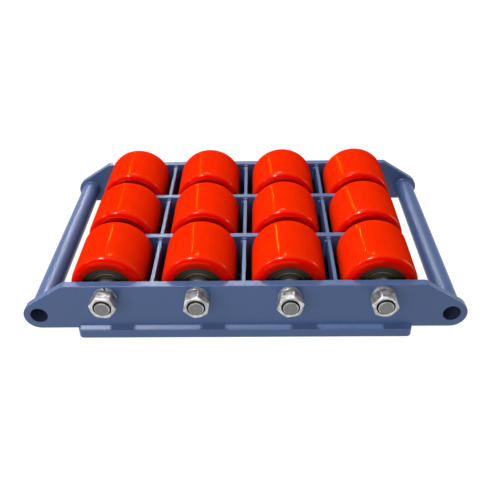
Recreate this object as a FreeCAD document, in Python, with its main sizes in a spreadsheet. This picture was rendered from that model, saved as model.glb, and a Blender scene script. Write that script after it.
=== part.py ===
import FreeCAD, Part
import math
import os
import Sketcher

# Machine skate lying on its load plate with the rollers up.
# X runs along the skate, Y across it along the axles, Z up from the underside of the load plate.

# Rows of rollers across the skate and axles along it, counted from the middle
ROWS = {"front": -1, "middle": 0, "rear": 1}
AXLES = {1: -1.5, 2: -0.5, 3: 0.5, 4: 1.5}
DIVIDER_STEPS = (-1, 0, 1)
ENDS = (-1, 1)
END_AXLE_STEP = max(AXLES.values())
BALLS_PER_BEARING = 8

# Turn of each nut and spring washer about its axle, in degrees
NUT_TURNS = (9, -20, -14, 10)
WASHER_TURNS = (272, 75, 118, 96)
SPLIT_SLANT = 18

# Slack within which two edges count as level or as equally round, as a share of the size compared
SAME_PLACE_SHARE = 1e-5

# Driving dimensions in millimetres
SIZES = {
    "axle_diameter": "20",
    "axle_hole_clearance": "0.2",
    "ring_fit_clearance": "0.02",
    "inner_ring_wall": "4.4",
    "ring_gap": "5.08",
    "outer_ring_wall": "4",
    "track_depth": "1.4",
    "ball_clearance": "0.05",
    "bearing_width": "14",
    "bearing_edge_radius": "0.8",
    "seal_thickness": "1",
    "seal_inset": "0.6",
    "seal_lip_gap": "0.3",
    "hub_wall": "6.5",
    "hub_shoulder": "4.5",
    "hub_recess": "4",
    "hub_edge_chamfer": "1",
    "tyre_wall": "12.5",
    "tyre_edge_radius": "10",
    "tyre_mouth_chamfer": "0.5",
    "roller_width": "85",
    "roller_side_gap": "1.5",
    "roller_plate_gap": "1",
    "roller_divider_gap": "7",
    "spacer_wall": "4.3",
    "spacer_clearance": "0.1",
    "thread_step": "1",
    "thread_chamfer": "1.6",
    "thread_set_in": "1",
    "thread_stand_out": "2.5",
    "thread_clearance": "0.05",
    "nut_wall": "4.5",
    "nut_height": "16",
    "nut_face_relief": "0.8",
    "nut_countersink": "1.3",
    "washer_band": "4.3",
    "washer_thickness": "4.5",
    "washer_clearance": "0.2",
    "washer_split": "2.2",
    "load_thickness": "12",
    "load_end_reach": "37",
    "load_overhang": "6.5",
    "load_corner_radius": "6",
    "side_thickness": "10",
    "side_notch": "2",
    "notch_clearance": "0.5",
    "axle_hole_cover": "4.3",
    "top_end_reach": "48",
    "top_corner_radius": "8",
    "nose_radius": "18",
    "tow_height": "19",
    "tow_reach": "80",
    "tow_bore": "20",
    "tow_tube_wall": "2.5",
    "inner_end_reach": "31.5",
    "inner_thickness": "8",
    "divider_thickness": "4",
    "divider_drop": "3",
    "plate_edge_radius": "0.8",
}

# Sizes and places that follow from the driving dimensions, from the axle outwards
FOLLOWING = {
    "axle_radius": "Sizes.axle_diameter / 2",
    "axle_hole_radius": "axle_radius + Sizes.axle_hole_clearance",
    "ring_bore_radius": "axle_radius + Sizes.ring_fit_clearance",
    "inner_ring_radius": "ring_bore_radius + Sizes.inner_ring_wall",
    "outer_ring_bore_radius": "inner_ring_radius + Sizes.ring_gap",
    "bearing_radius": "outer_ring_bore_radius + Sizes.outer_ring_wall",
    "ball_path_radius": "inner_ring_radius + Sizes.ring_gap / 2",
    "ball_radius": "Sizes.ring_gap / 2 + Sizes.track_depth",
    "raceway_radius": "ball_radius + Sizes.ball_clearance",
    "seal_bore_radius": "inner_ring_radius + Sizes.seal_lip_gap",
    "seal_y": "(Sizes.bearing_width - Sizes.seal_thickness) / 2 - Sizes.seal_inset",
    "hub_radius": "bearing_radius + Sizes.hub_wall",
    "shoulder_radius": "bearing_radius - Sizes.hub_shoulder",
    "hub_length": "Sizes.roller_width - 2 * Sizes.hub_recess",
    "bearing_y": "(hub_length - Sizes.bearing_width) / 2",
    "roller_radius": "hub_radius + Sizes.tyre_wall",
    "bay_width": "Sizes.roller_width + 2 * Sizes.roller_side_gap",
    "bay_spacing": "bay_width + Sizes.inner_thickness",
    "axle_pitch": "2 * (roller_radius + Sizes.roller_divider_gap) + Sizes.divider_thickness",
    "end_axle_x": f"{END_AXLE_STEP} * axle_pitch",
    "axle_z": "Sizes.load_thickness + Sizes.roller_plate_gap + roller_radius",
    "inner_y": "bay_spacing / 2",
    "side_inner_y": "bay_spacing + bay_width / 2",
    "side_y": "side_inner_y + Sizes.side_thickness / 2",
    "side_outer_y": "side_inner_y + Sizes.side_thickness",
    "side_bottom_z": "Sizes.load_thickness - Sizes.side_notch",
    "side_axle_height": "axle_z - side_bottom_z",
    "side_height": "side_axle_height + axle_hole_radius + Sizes.axle_hole_cover",
    "top_x": "end_axle_x + Sizes.top_end_reach",
    "tow_x": "end_axle_x + Sizes.tow_reach",
    "tow_z": "side_bottom_z + Sizes.tow_height",
    "tow_radius": "Sizes.tow_bore / 2",
    "tow_tube_radius": "tow_radius + Sizes.tow_tube_wall",
    "tow_tube_length": "2 * side_inner_y",
    "load_length": "2 * (end_axle_x + Sizes.load_end_reach)",
    "load_width": "2 * (side_outer_y + Sizes.load_overhang)",
    "notch_length": "load_length + 2 * Sizes.notch_clearance",
    "inner_length": "2 * (end_axle_x + Sizes.inner_end_reach)",
    "inner_height": "side_height - Sizes.side_notch",
    "inner_axle_height": "axle_z - Sizes.load_thickness",
    "divider_height": "inner_height - Sizes.divider_drop",
    "thread_radius": "axle_radius - Sizes.thread_step",
    "washer_y": "side_outer_y",
    "nut_y": "washer_y + Sizes.washer_thickness",
    "axle_half_length": "nut_y + Sizes.nut_height + Sizes.thread_stand_out",
    "axle_length": "2 * axle_half_length",
    "thread_length": "axle_half_length - side_outer_y + Sizes.thread_set_in",
    "nut_half_flats": "thread_radius + Sizes.nut_wall",
    "nut_corner_radius": "nut_half_flats / cos(30)",
    "nut_flat_radius": "nut_half_flats - Sizes.nut_face_relief",
    "nut_slope": "(nut_corner_radius - nut_flat_radius) * tan(30)",
    "nut_bore_radius": "thread_radius + Sizes.thread_clearance",
    "nut_mouth_radius": "nut_bore_radius + Sizes.nut_countersink",
    "washer_bore_radius": "thread_radius + Sizes.washer_clearance",
    "washer_radius": "washer_bore_radius + Sizes.washer_band",
    "spacer_bore_radius": "axle_radius + Sizes.spacer_clearance",
    "spacer_radius": "spacer_bore_radius + Sizes.spacer_wall",
    "bearing_spacer_length": "hub_length - 2 * Sizes.bearing_width",
    "side_spacer_length": "Sizes.roller_side_gap + Sizes.hub_recess",
    "side_spacer_y": "(bay_width - side_spacer_length) / 2",
}

ALONG_Y = FreeCAD.Rotation(FreeCAD.Vector(1, 0, 0), -90)
UPRIGHT = FreeCAD.Rotation()
ACROSS = FreeCAD.Rotation(FreeCAD.Vector(0, 0, 1), 90)

doc = FreeCAD.newDocument("machine_skate")
parts = []

sheet = doc.addObject("Spreadsheet::Sheet", "Sizes")
for row, (alias, text) in enumerate(SIZES.items(), start=1):
    sheet.set(f"A{row}", alias)
    sheet.set(f"B{row}", text)
    sheet.setAlias(f"B{row}", alias)

places = doc.addObject("App::VarSet", "Places")
for name, formula in FOLLOWING.items():
    places.addProperty("App::PropertyFloat", name)
    places.setExpression(name, formula)
doc.recompute()


def bind(target, **formulas):
    """Tie properties to formulas; two underscores in a key stand for a dot."""
    for key, formula in formulas.items():
        target.setExpression(key.replace("__", "."), formula)


def put(target, rotation, x="0", y="0", z="0"):
    """Place an object by its turn and three formulas."""
    target.Placement = FreeCAD.Placement(FreeCAD.Vector(), rotation)
    bind(target, Placement__Base__x=x, Placement__Base__y=y, Placement__Base__z=z)


def keep(target, label):
    """Name a finished sub-part and list it for writing."""
    target.Label = label
    parts.append(target)
    return target


def new_sketch(body, name, role="XZ_Plane"):
    plane = next(item for item in body.Origin.OriginFeatures if item.Role == role)
    sketch = body.newObject("Sketcher::SketchObject", name)
    sketch.AttachmentSupport = [(plane, "")]
    sketch.MapMode = "FlatFace"
    return sketch


def fix(sketch, kind, *places_and_value, formula):
    """Add a dimension to a sketch and tie it to a formula."""
    index = sketch.addConstraint(Sketcher.Constraint(kind, *places_and_value))
    sketch.setExpression(f"Constraints[{index}]", formula)


def polygon(sketch, corners):
    """Closed outline through corners given as pairs of formulas."""
    count = len(corners)
    starts = [FreeCAD.Vector(1 + index, index * index, 0) for index in range(count)]
    for index, start in enumerate(starts):
        sketch.addGeometry(Part.LineSegment(start, starts[(index + 1) % count]))
    for index in range(count):
        sketch.addConstraint(Sketcher.Constraint("Coincident", index, 2, (index + 1) % count, 1))
    for index, (across, along) in enumerate(corners):
        if across == "0":
            sketch.addConstraint(Sketcher.Constraint("PointOnObject", index, 1, -2))
        else:
            fix(sketch, "DistanceX", -1, 1, index, 1, starts[index].x, formula=across)
        if along == "0":
            sketch.addConstraint(Sketcher.Constraint("PointOnObject", index, 1, -1))
        else:
            fix(sketch, "DistanceY", -1, 1, index, 1, starts[index].y, formula=along)


def rectangle(sketch, width, height):
    """Rectangle that stands on the sketch's own X axis, centred on its Y axis."""
    corners = [FreeCAD.Vector(x, y, 0) for x, y in ((-1, 0), (1, 0), (1, 1), (-1, 1))]
    for index, corner in enumerate(corners):
        sketch.addGeometry(Part.LineSegment(corner, corners[(index + 1) % 4]))
    for index in range(4):
        sketch.addConstraint(Sketcher.Constraint("Coincident", index, 2, (index + 1) % 4, 1))
    sketch.addConstraint(Sketcher.Constraint("Symmetric", 0, 1, 0, 2, -2))
    sketch.addConstraint(Sketcher.Constraint("PointOnObject", 0, 1, -1))
    sketch.addConstraint(Sketcher.Constraint("Vertical", 1))
    sketch.addConstraint(Sketcher.Constraint("Horizontal", 2))
    sketch.addConstraint(Sketcher.Constraint("Vertical", 3))
    fix(sketch, "DistanceX", 0, 1, 0, 2, 2, formula=width)
    fix(sketch, "DistanceY", 1, 1, 1, 2, 1, formula=height)


def circle_pair(sketch, radius, x, y):
    """Two equal circles either side of the sketch's Y axis."""
    first = sketch.addGeometry(Part.Circle(FreeCAD.Vector(1, 1, 0), FreeCAD.Vector(0, 0, 1), 1))
    second = sketch.addGeometry(Part.Circle(FreeCAD.Vector(-1, 1, 0), FreeCAD.Vector(0, 0, 1), 1))
    fix(sketch, "DistanceX", -1, 1, first, 3, 1, formula=x)
    fix(sketch, "DistanceY", -1, 1, first, 3, 1, formula=y)
    fix(sketch, "Radius", first, 1, formula=radius)
    sketch.addConstraint(Sketcher.Constraint("Symmetric", first, 3, second, 3, -2))
    sketch.addConstraint(Sketcher.Constraint("Equal", first, second))


def pad(body, sketch, thickness):
    feature = body.newObject("PartDesign::Pad", body.Name + "_pad")
    feature.Profile = sketch
    feature.SideType = "Symmetric"
    bind(feature, Length=thickness)
    doc.recompute()
    return feature


def pocket_through(body, sketch):
    """Cut a sketch right through, to both sides of its plane."""
    before = body.Shape.Volume
    feature = body.newObject("PartDesign::Pocket", sketch.Name + "_cut")
    feature.Profile = sketch
    feature.SideType = "Symmetric"
    feature.Type = "ThroughAll"
    doc.recompute()
    if body.Shape.Volume >= before:
        raise RuntimeError(f"{sketch.Name} cuts nothing")
    return feature


def dress(body, kind, wanted, name, **formulas):
    """Round or bevel the edges of the body's last feature that the test picks."""
    doc.recompute()
    base = body.Tip
    edges = [f"Edge{index}" for index, edge in enumerate(base.Shape.Edges, start=1) if wanted(edge)]
    feature = body.newObject(kind, name)
    feature.Base = (base, edges)
    bind(feature, **formulas)
    return feature


def turned(name, corners):
    """Body turned about its own Z axis from a half outline of radius and height."""
    body = doc.addObject("PartDesign::Body", name)
    sketch = new_sketch(body, name + "_outline")
    polygon(sketch, corners)
    feature = body.newObject("PartDesign::Revolution", name + "_turn")
    feature.Profile = sketch
    feature.ReferenceAxis = (sketch, ["V_Axis"])
    feature.Angle = 360
    doc.recompute()
    return body


def ring(name, bore_radius, outer_radius, length):
    """Plain tube that stands on its own origin."""
    foot = [(bore_radius, "0"), (outer_radius, "0")]
    head = [(outer_radius, length), (bore_radius, length)]
    return turned(name, foot + head)


def groove_raceway(body):
    """Cut the ball track round the middle of a bearing ring."""
    before = body.Shape.Volume
    sketch = new_sketch(body, body.Name + "_track")
    sketch.addGeometry(Part.Circle(FreeCAD.Vector(2, 1, 0), FreeCAD.Vector(0, 0, 1), 1))
    fix(sketch, "DistanceX", -1, 1, 0, 3, 2, formula="Places.ball_path_radius")
    fix(sketch, "DistanceY", -1, 1, 0, 3, 1, formula="Sizes.bearing_width / 2")
    fix(sketch, "Radius", 0, 1, formula="Places.raceway_radius")
    feature = body.newObject("PartDesign::Groove", body.Name + "_groove")
    feature.Profile = sketch
    feature.ReferenceAxis = (sketch, ["V_Axis"])
    feature.Angle = 360
    doc.recompute()
    if body.Shape.Volume >= before:
        raise RuntimeError(f"{body.Name} has no ball track")


def group(label, copies):
    """One sub-part of several loose solids: copies of patterns at their own placements."""
    solids = []
    for pattern, base, rotation in copies:
        solid = pattern.Shape.copy()
        solid.Placement = FreeCAD.Placement(base, rotation)
        solids.extend(solid.Solids)
    feature = doc.addObject("Part::Feature", label)
    feature.Shape = Part.Compound(solids)
    return keep(feature, label)


def is_ring_edge(edge, radius):
    """True for a full round edge of this radius."""
    round_edge = isinstance(edge.Curve, Part.Circle) and edge.isClosed()
    return round_edge and math.isclose(edge.Curve.Radius, radius, rel_tol=SAME_PLACE_SHARE)


def lies_at(edge, axis, coordinate):
    """True for an edge whose points all share this coordinate."""
    box = edge.BoundBox
    low = getattr(box, axis + "Min")
    high = getattr(box, axis + "Max")
    slack = places.roller_radius * SAME_PLACE_SHARE
    return abs(low - coordinate) < slack and abs(high - coordinate) < slack


# Load plate: the flat bed that carries the machine
def make_load_plate():
    body = doc.addObject("PartDesign::Body", "load_plate")
    sketch = new_sketch(body, "load_outline")
    rectangle(sketch, "Places.load_length", "Sizes.load_thickness")
    pad(body, sketch, "Places.load_width")
    thickness = sheet.get("load_thickness")

    def upright(edge):
        return not lies_at(edge, "Z", 0) and not lies_at(edge, "Z", thickness)

    def rim(edge):
        return lies_at(edge, "Z", 0) or lies_at(edge, "Z", thickness)

    dress(body, "PartDesign::Fillet", upright, "load_corners", Radius="Sizes.load_corner_radius")
    dress(body, "PartDesign::Fillet", rim, "load_rim", Radius="Sizes.plate_edge_radius")
    put(body, UPRIGHT)
    keep(body, "load_plate")


# Side plates: flat bar with tapered noses, a shallow notch over the load plate and bored holes
def side_outline(sketch):
    """Straight foot and top joined by sloping shoulders and round noses, tangent all the way."""
    tow_x = places.tow_x
    nose = sheet.get("nose_radius")
    top_x = places.top_x
    top_z = places.side_height
    reach = math.hypot(top_x - tow_x, top_z - nose)
    lean = math.atan2(top_z - nose, top_x - tow_x) - math.acos(nose / reach)
    touch_x = tow_x + nose * math.cos(lean)
    touch_z = nose + nose * math.sin(lean)
    point = FreeCAD.Vector
    up = point(0, 0, 1)
    foot = sketch.addGeometry(Part.LineSegment(point(-tow_x, 0, 0), point(tow_x, 0, 0)))
    right_circle = Part.Circle(point(tow_x, nose, 0), up, nose)
    right_nose = sketch.addGeometry(Part.ArcOfCircle(right_circle, -math.pi / 2, lean))
    right_slope = sketch.addGeometry(Part.LineSegment(point(touch_x, touch_z, 0), point(top_x, top_z, 0)))
    top = sketch.addGeometry(Part.LineSegment(point(top_x, top_z, 0), point(-top_x, top_z, 0)))
    left_slope = sketch.addGeometry(Part.LineSegment(point(-top_x, top_z, 0), point(-touch_x, touch_z, 0)))
    left_circle = Part.Circle(point(-tow_x, nose, 0), up, nose)
    left_nose = sketch.addGeometry(Part.ArcOfCircle(left_circle, math.pi - lean, 3 * math.pi / 2))
    joins = (
        ("Tangent", foot, right_nose),
        ("Tangent", right_nose, right_slope),
        ("Coincident", right_slope, top),
        ("Coincident", top, left_slope),
        ("Tangent", left_slope, left_nose),
        ("Tangent", left_nose, foot),
    )
    for kind, first, second in joins:
        sketch.addConstraint(Sketcher.Constraint(kind, first, 2, second, 1))
    sketch.addConstraint(Sketcher.Constraint("Symmetric", top, 1, top, 2, -2))
    sketch.addConstraint(Sketcher.Constraint("Symmetric", right_nose, 3, left_nose, 3, -2))
    fix(sketch, "DistanceX", top, 2, top, 1, 2 * top_x, formula="2 * Places.top_x")
    fix(sketch, "DistanceY", -1, 1, top, 1, top_z, formula="Places.side_height")
    fix(sketch, "DistanceX", -1, 1, right_nose, 3, tow_x, formula="Places.tow_x")
    fix(sketch, "DistanceY", -1, 1, right_nose, 3, nose, formula="Sizes.nose_radius")
    fix(sketch, "Radius", right_nose, nose, formula="Sizes.nose_radius")
    fix(sketch, "Radius", left_nose, nose, formula="Sizes.nose_radius")


def bore_axle_holes(sketch, height):
    for step in AXLES.values():
        if step > 0:
            circle_pair(sketch, "Places.axle_hole_radius", f"{step} * Places.axle_pitch", height)


def make_side_plate(label, side):
    body = doc.addObject("PartDesign::Body", label)
    outline = new_sketch(body, label + "_outline")
    side_outline(outline)
    pad(body, outline, "Sizes.side_thickness")
    top_x = places.top_x
    top_z = places.side_height
    half = sheet.get("side_thickness") / 2

    def shoulder(edge):
        return lies_at(edge, "Z", top_z) and (lies_at(edge, "X", top_x) or lies_at(edge, "X", -top_x))

    def outline_edge(edge):
        return lies_at(edge, "Y", half) or lies_at(edge, "Y", -half)

    dress(body, "PartDesign::Fillet", shoulder, label + "_shoulders", Radius="Sizes.top_corner_radius")
    dress(body, "PartDesign::Fillet", outline_edge, label + "_edges", Radius="Sizes.plate_edge_radius")
    doc.recompute()
    notch = new_sketch(body, label + "_notch")
    rectangle(notch, "Places.notch_length", "Sizes.side_notch")
    pocket_through(body, notch)
    holes = new_sketch(body, label + "_holes")
    bore_axle_holes(holes, "Places.side_axle_height")
    circle_pair(holes, "Places.tow_radius", "Places.tow_x", "Sizes.tow_height")
    pocket_through(body, holes)
    put(body, UPRIGHT, y=f"{side} * Places.side_y", z="Places.side_bottom_z")
    keep(body, label)


# Inner plates: the two lengthwise walls between the rows of rollers
def round_top_edges(body, height):
    dress(body, "PartDesign::Fillet", lambda edge: lies_at(edge, "Z", height), body.Name + "_edges",
          Radius="Sizes.plate_edge_radius")


def make_inner_plate(label, side):
    body = doc.addObject("PartDesign::Body", label)
    outline = new_sketch(body, label + "_outline")
    rectangle(outline, "Places.inner_length", "Places.inner_height")
    pad(body, outline, "Sizes.inner_thickness")
    round_top_edges(body, places.inner_height)
    doc.recompute()
    holes = new_sketch(body, label + "_holes")
    bore_axle_holes(holes, "Places.inner_axle_height")
    pocket_through(body, holes)
    put(body, UPRIGHT, y=f"{side} * Places.inner_y", z="Sizes.load_thickness")
    keep(body, label)


# Cross dividers: three thin plates in each bay, a little lower than the long plates
def make_dividers():
    pattern = doc.addObject("PartDesign::Body", "divider_pattern")
    outline = new_sketch(pattern, "divider_outline")
    rectangle(outline, "Places.bay_width", "Places.divider_height")
    pad(pattern, outline, "Sizes.divider_thickness")
    doc.recompute()
    pitch = places.axle_pitch
    bed_z = sheet.get("load_thickness")
    for row, step in ROWS.items():
        bay_y = step * places.bay_spacing
        bases = [FreeCAD.Vector(count * pitch, bay_y, bed_z) for count in DIVIDER_STEPS]
        group(f"dividers_{row}", [(pattern, base, ACROSS) for base in bases])


# Tow tubes: thin-walled tubes between the noses, in line with the tow holes
def make_tow_tube(label, side):
    body = ring(label, "Places.tow_radius", "Places.tow_tube_radius", "Places.tow_tube_length")
    put(body, ALONG_Y, x=f"{side} * Places.tow_x", y="-Places.side_inner_y", z="Places.tow_z")
    keep(body, label)


# Axles: turned bar with a thread at each end
def make_axle(number, step):
    end = "Places.axle_length"
    body = turned(f"axle_{number}", [
        ("0", "0"),
        ("Places.thread_radius - Sizes.thread_chamfer", "0"),
        ("Places.thread_radius", "Sizes.thread_chamfer"),
        ("Places.thread_radius", "Places.thread_length"),
        ("Places.axle_radius", "Places.thread_length"),
        ("Places.axle_radius", f"{end} - Places.thread_length"),
        ("Places.thread_radius", f"{end} - Places.thread_length"),
        ("Places.thread_radius", f"{end} - Sizes.thread_chamfer"),
        ("Places.thread_radius - Sizes.thread_chamfer", end),
        ("0", end),
    ])
    put(body, ALONG_Y, x=f"{step} * Places.axle_pitch", y="-Places.axle_half_length", z="Places.axle_z")
    keep(body, f"axle_{number}")


# Nuts: hexagon bar with bevelled corners and a countersunk bore
def make_nut_pattern():
    height = "Sizes.nut_height"
    prism = doc.addObject("Part::Prism", "nut_hexagon")
    prism.Polygon = 6
    bind(prism, Circumradius="Places.nut_corner_radius", Height=height)
    bevel = turned("nut_bevel", [
        ("0", "0"),
        ("Places.nut_flat_radius", "0"),
        ("Places.nut_corner_radius", "Places.nut_slope"),
        ("Places.nut_corner_radius", f"{height} - Places.nut_slope"),
        ("Places.nut_flat_radius", height),
        ("0", height),
    ])
    bore = turned("nut_bore", [
        ("0", "0"),
        ("Places.nut_mouth_radius", "0"),
        ("Places.nut_bore_radius", "Sizes.nut_countersink"),
        ("Places.nut_bore_radius", f"{height} - Sizes.nut_countersink"),
        ("Places.nut_mouth_radius", height),
        ("0", height),
    ])
    bevelled = doc.addObject("Part::Common", "nut_blank")
    bevelled.Base = prism
    bevelled.Tool = bevel
    nut = doc.addObject("Part::Cut", "nut_pattern")
    nut.Base = bevelled
    nut.Tool = bore
    doc.recompute()
    return nut


# Spring washers: flattened split rings under the nuts
def make_washer_pattern():
    blank = ring("washer_ring", "Places.washer_bore_radius", "Places.washer_radius", "Sizes.washer_thickness")
    slit = doc.addObject("Part::Box", "washer_slit")
    bind(slit, Length="Places.washer_radius", Width="Sizes.washer_split", Height="2 * Sizes.washer_thickness")
    slant = FreeCAD.Rotation(FreeCAD.Vector(1, 0, 0), SPLIT_SLANT)
    put(slit, slant, y="-Sizes.washer_split / 2", z="-Sizes.washer_thickness / 2")
    washer = doc.addObject("Part::Cut", "washer_pattern")
    washer.Base = blank
    washer.Tool = slit
    doc.recompute()
    return washer


def on_axle_ends(pattern, depth_y, thickness, turns):
    """Copies of a round fastener on both ends of every axle, each with its own turn."""
    copies = []
    pitch = places.axle_pitch
    for side in ENDS:
        near_y = side * depth_y if side > 0 else side * depth_y - thickness
        for turn, step in zip(turns, AXLES.values()):
            rotation = ALONG_Y.multiply(FreeCAD.Rotation(FreeCAD.Vector(0, 0, 1), turn))
            copies.append((pattern, FreeCAD.Vector(step * pitch, near_y, places.axle_z), rotation))
    return copies


def make_fasteners():
    nut = make_nut_pattern()
    washer = make_washer_pattern()
    group("axle_nuts", on_axle_ends(nut, places.nut_y, sheet.get("nut_height"), NUT_TURNS))
    group("spring_washers",
          on_axle_ends(washer, places.washer_y, sheet.get("washer_thickness"), WASHER_TURNS))


# Rollers: a cast tyre on a bored hub, with a ball bearing in each end of the hub
def roller_place(body, row_step, axle_step, length):
    put(body, ALONG_Y, x=f"{axle_step} * Places.axle_pitch", z="Places.axle_z",
        y=f"{row_step} * Places.bay_spacing - {length} / 2")


def make_tyre(label, row_step, axle_step):
    body = ring(label, "Places.hub_radius", "Places.roller_radius", "Sizes.roller_width")
    dress(body, "PartDesign::Fillet", lambda edge: is_ring_edge(edge, places.roller_radius),
          label + "_shoulder", Radius="Sizes.tyre_edge_radius")
    dress(body, "PartDesign::Chamfer", lambda edge: is_ring_edge(edge, places.hub_radius),
          label + "_mouth", Size="Sizes.tyre_mouth_chamfer")
    roller_place(body, row_step, axle_step, "Sizes.roller_width")
    keep(body, label)


def make_hub(label, row_step, axle_step):
    end = "Places.hub_length"
    bevel = "Sizes.hub_edge_chamfer"
    body = turned(label, [
        ("Places.bearing_radius", "0"),
        (f"Places.hub_radius - {bevel}", "0"),
        ("Places.hub_radius", bevel),
        ("Places.hub_radius", f"{end} - {bevel}"),
        (f"Places.hub_radius - {bevel}", end),
        ("Places.bearing_radius", end),
        ("Places.bearing_radius", f"{end} - Sizes.bearing_width"),
        ("Places.shoulder_radius", f"{end} - Sizes.bearing_width"),
        ("Places.shoulder_radius", "Sizes.bearing_width"),
        ("Places.bearing_radius", "Sizes.bearing_width"),
    ])
    roller_place(body, row_step, axle_step, end)
    keep(body, label)


def make_bearing_patterns():
    """Outer ring, ball, seal and inner ring, each with its foot at its own origin."""
    width = "Sizes.bearing_width"
    outer = ring("outer_ring_pattern", "Places.outer_ring_bore_radius", "Places.bearing_radius", width)
    groove_raceway(outer)
    dress(outer, "PartDesign::Fillet", lambda edge: is_ring_edge(edge, places.bearing_radius),
          "outer_ring_edges", Radius="Sizes.bearing_edge_radius")
    inner = ring("inner_ring_pattern", "Places.ring_bore_radius", "Places.inner_ring_radius", width)
    groove_raceway(inner)
    seal = ring("seal_pattern", "Places.seal_bore_radius", "Places.outer_ring_bore_radius",
                "Sizes.seal_thickness")
    ball = doc.addObject("Part::Sphere", "ball_pattern")
    bind(ball, Radius="Places.ball_radius")
    doc.recompute()
    return outer, ball, seal, inner


def bearing_copies(outer, ball, seal, x, y):
    """Turning half of one bearing whose middle is at y on the axle at x."""
    axis_z = places.axle_z
    centre = FreeCAD.Vector(x, y, axis_z)
    half_width = FreeCAD.Vector(0, sheet.get("bearing_width") / 2, 0)
    copies = [(outer, centre - half_width, ALONG_Y)]
    for side in ENDS:
        middle_y = side * places.seal_y
        foot = FreeCAD.Vector(0, middle_y - sheet.get("seal_thickness") / 2, 0)
        copies.append((seal, centre + foot, ALONG_Y))
    for count in range(BALLS_PER_BEARING):
        angle = 2 * math.pi * count / BALLS_PER_BEARING
        swing = FreeCAD.Vector(math.cos(angle), 0, math.sin(angle)) * places.ball_path_radius
        copies.append((ball, centre + swing, UPRIGHT))
    return copies


def make_rollers():
    outer, ball, seal, inner = make_bearing_patterns()
    half_width = sheet.get("bearing_width") / 2
    for number, axle_step in AXLES.items():
        x = axle_step * places.axle_pitch
        inner_copies = []
        for row, row_step in ROWS.items():
            make_tyre(f"tyre_{row}_{number}", row_step, axle_step)
            make_hub(f"hub_{row}_{number}", row_step, axle_step)
            turning = []
            for side in ENDS:
                y = row_step * places.bay_spacing + side * places.bearing_y
                turning += bearing_copies(outer, ball, seal, x, y)
                inner_copies.append((inner, FreeCAD.Vector(x, y - half_width, places.axle_z), ALONG_Y))
            group(f"bearings_{row}_{number}", turning)
        group(f"bearing_inner_rings_axle_{number}", inner_copies)


# Spacers: long ones between the two bearings of a roller, short ones against the plates
def make_spacers():
    long_length = places.bearing_spacer_length
    short_length = places.side_spacer_length
    long_spacer = ring("long_spacer", "Places.spacer_bore_radius", "Places.spacer_radius",
                       "Places.bearing_spacer_length")
    short_spacer = ring("short_spacer", "Places.spacer_bore_radius", "Places.spacer_radius",
                        "Places.side_spacer_length")
    long_copies = []
    short_copies = []
    for axle_step in AXLES.values():
        x = axle_step * places.axle_pitch
        for row_step in ROWS.values():
            y = row_step * places.bay_spacing
            long_copies.append((long_spacer, FreeCAD.Vector(x, y - long_length / 2, places.axle_z), ALONG_Y))
            for side in ENDS:
                foot_y = y + side * places.side_spacer_y - short_length / 2
                short_copies.append((short_spacer, FreeCAD.Vector(x, foot_y, places.axle_z), ALONG_Y))
    group("bearing_spacers", long_copies)
    group("side_spacers", short_copies)


make_load_plate()
make_side_plate("side_plate_front", -1)
make_side_plate("side_plate_rear", 1)
make_inner_plate("inner_plate_front", -1)
make_inner_plate("inner_plate_rear", 1)
make_dividers()
make_tow_tube("tow_tube_left", -1)
make_tow_tube("tow_tube_right", 1)
for axle_number, axle_step in AXLES.items():
    make_axle(axle_number, axle_step)
make_fasteners()
make_rollers()
make_spacers()
doc.recompute()

# Every object has to be sound before anything is written
for item in doc.Objects:
    if "Invalid" in item.State or "Error" in item.State:
        raise RuntimeError(f"{item.Label} failed: {item.State}")
for item in parts:
    if item.Shape.isNull() or not item.Shape.isValid():
        raise RuntimeError(f"{item.Label} has no valid shape")

os.makedirs("parts", exist_ok=True)
for item in parts:
    item.Shape.exportStep(f"parts/{item.Label}.step")
    print(f"{item.Label}: {len(item.Shape.Solids)} solids, {item.Shape.Volume:.0f} mm3")
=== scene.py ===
# %% [markdown]
# # A machine skate with its rollers up
# The skate is a low welded steel frame with twelve cast rollers on four through axles. A heavy machine
# stands on its flat load plate. Here the skate lies on that plate, so its rollers face the sky. The solids
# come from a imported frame. This lesson gives them their finishes, and it makes the round parts and the
# fasteners again with the finer detail that a close look shows.

# %% Load the frame
import math

import bmesh
import bpy
from mathutils import Matrix, Vector


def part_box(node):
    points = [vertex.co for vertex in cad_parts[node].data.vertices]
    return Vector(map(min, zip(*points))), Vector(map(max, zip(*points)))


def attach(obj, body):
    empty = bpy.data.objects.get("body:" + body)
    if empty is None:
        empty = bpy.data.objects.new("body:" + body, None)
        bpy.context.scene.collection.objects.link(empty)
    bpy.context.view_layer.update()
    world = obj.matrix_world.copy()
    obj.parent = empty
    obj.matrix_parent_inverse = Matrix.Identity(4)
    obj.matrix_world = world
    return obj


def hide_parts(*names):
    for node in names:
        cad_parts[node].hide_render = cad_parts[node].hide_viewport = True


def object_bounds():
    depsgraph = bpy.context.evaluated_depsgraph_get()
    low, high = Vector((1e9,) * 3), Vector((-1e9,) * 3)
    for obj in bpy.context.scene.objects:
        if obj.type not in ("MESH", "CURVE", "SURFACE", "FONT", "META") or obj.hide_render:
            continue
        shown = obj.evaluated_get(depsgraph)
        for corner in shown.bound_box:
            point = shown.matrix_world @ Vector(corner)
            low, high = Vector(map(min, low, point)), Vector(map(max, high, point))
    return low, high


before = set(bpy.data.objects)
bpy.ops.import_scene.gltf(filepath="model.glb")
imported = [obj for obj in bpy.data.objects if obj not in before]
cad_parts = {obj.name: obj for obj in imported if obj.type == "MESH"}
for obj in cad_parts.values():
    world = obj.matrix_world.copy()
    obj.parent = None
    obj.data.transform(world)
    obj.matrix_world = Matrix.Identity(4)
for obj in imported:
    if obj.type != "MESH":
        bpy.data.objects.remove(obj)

cad_low, cad_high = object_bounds()

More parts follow.
